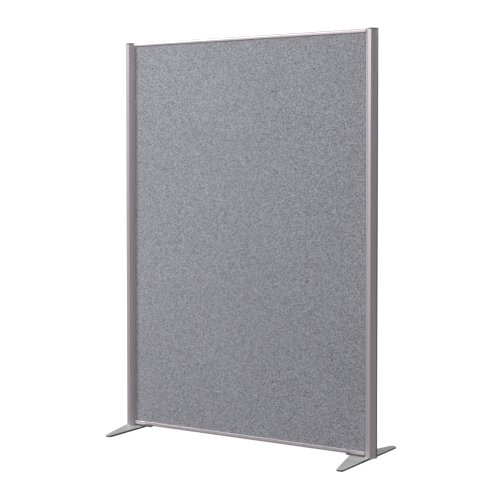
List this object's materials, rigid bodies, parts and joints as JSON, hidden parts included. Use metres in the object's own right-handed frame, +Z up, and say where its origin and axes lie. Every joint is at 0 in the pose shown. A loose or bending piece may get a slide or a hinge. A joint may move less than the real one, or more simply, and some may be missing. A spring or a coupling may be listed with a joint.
{
  "type": "free-standing partition wall",
  "caption": "Free-standing screen: a grey fabric panel held between two aluminium posts on flat tapered steel feet.",
  "frame": {"origin": "on the floor under the middle of the panel, the centre of the bounding box's base", "axes": "+X along the panel's width, -Y towards the front, +Z up"},
  "size_m": [1.2, 0.46, 1.65],
  "materials": {
    "anodised_aluminium": "fine satin anodised, drawn along its length",
    "cast_plug": "plain casting",
    "zinc_plated_steel": "bright zinc plate",
    "foot_coating": "silver-grey satin powder coat",
    "cap_plastic": "fine moulded texture",
    "rest_plastic": "fine moulded texture",
    "cover_plastic": "smooth extruded",
    "screen_fabric": "speckled grey crepe weave",
    "frame_timber": "planed softwood",
    "dowel_beech": "fluted beech",
    "skin_board": "smooth hardboard",
    "infill_board": "paper honeycomb board"
  },
  "bodies": {
    "root": {"back_fabric": "screen_fabric", "back_skin": "skin_board", "blade_screws": "zinc_plated_steel", "bottom_bar": "frame_timber", "bottom_rail": "anodised_aluminium", "frame_dowels": "dowel_beech", "front_fabric": "screen_fabric", "front_skin": "skin_board", "left_foot_blade": "foot_coating", "left_post": "anodised_aluminium", "left_post_cap": "cap_plastic", "left_post_plug": "cast_plug", "left_rail_rest": "rest_plastic", "left_slot_cover": "cover_plastic", "left_stile": "frame_timber", "lower_infill": "infill_board", "middle_bar": "frame_timber", "panel_screws": "zinc_plated_steel", "post_bolts": "zinc_plated_steel", "rest_screws": "zinc_plated_steel", "right_foot_blade": "foot_coating", "right_post": "anodised_aluminium", "right_post_cap": "cap_plastic", "right_post_plug": "cast_plug", "right_rail_rest": "rest_plastic", "right_slot_cover": "cover_plastic", "right_stile": "frame_timber", "top_bar": "frame_timber", "top_rail": "anodised_aluminium", "upper_infill": "infill_board"}
  },
  "joints": []
}
